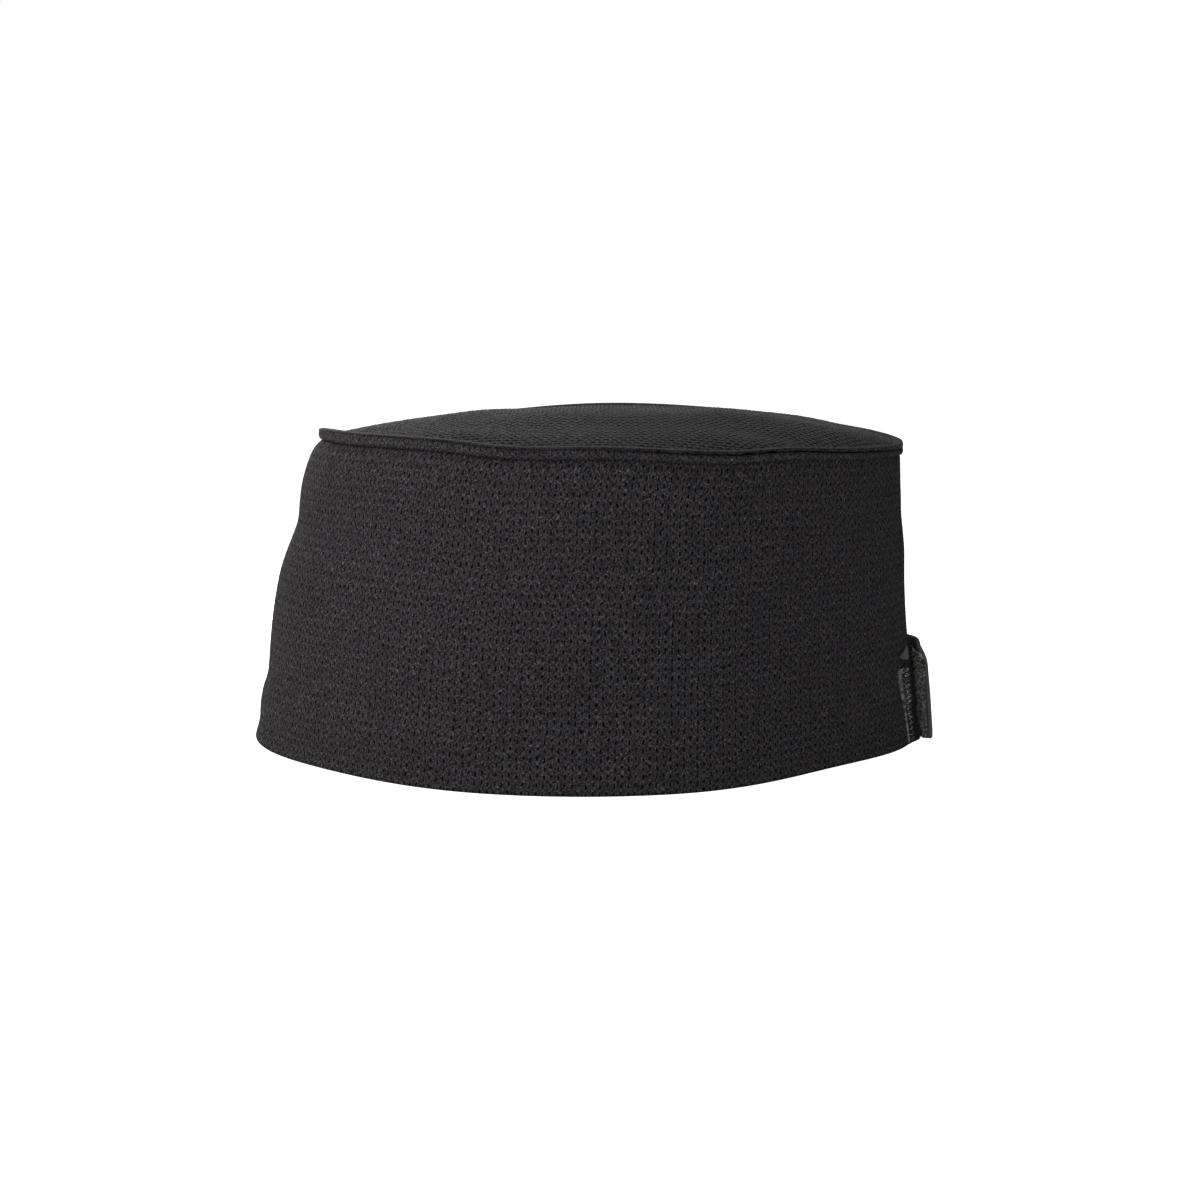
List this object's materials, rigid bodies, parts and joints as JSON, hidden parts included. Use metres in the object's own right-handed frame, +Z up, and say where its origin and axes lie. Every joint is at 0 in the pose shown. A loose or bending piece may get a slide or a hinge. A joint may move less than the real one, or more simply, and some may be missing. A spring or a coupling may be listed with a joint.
{
  "type": "chef hat",
  "caption": "Low round pillbox cap of soft mesh knit, open underneath, with a raised seam round its crown and a hook-and-loop strap at the back.",
  "frame": {"origin": "middle of the cap's box in plan, at the level of the rim that it stands on", "axes": "+Z up through the crown, +Y towards the back where the closure is, +X towards the wearer's left side"},
  "size_m": [0.1682, 0.2092, 0.099],
  "materials": {
    "mesh_knit": "black open mesh knit, matt",
    "hook_tape": "black woven nylon tape with fine glossy hooks",
    "loop_pile": "black brushed loop pile, matt",
    "tab_cloth": "black plain woven cloth, matt"
  },
  "bodies": {
    "root": {"side_band": "mesh_knit", "crown": "mesh_knit", "hook_tape": "hook_tape", "closure_tab": "tab_cloth", "loop_tape": "loop_pile"}
  },
  "joints": []
}
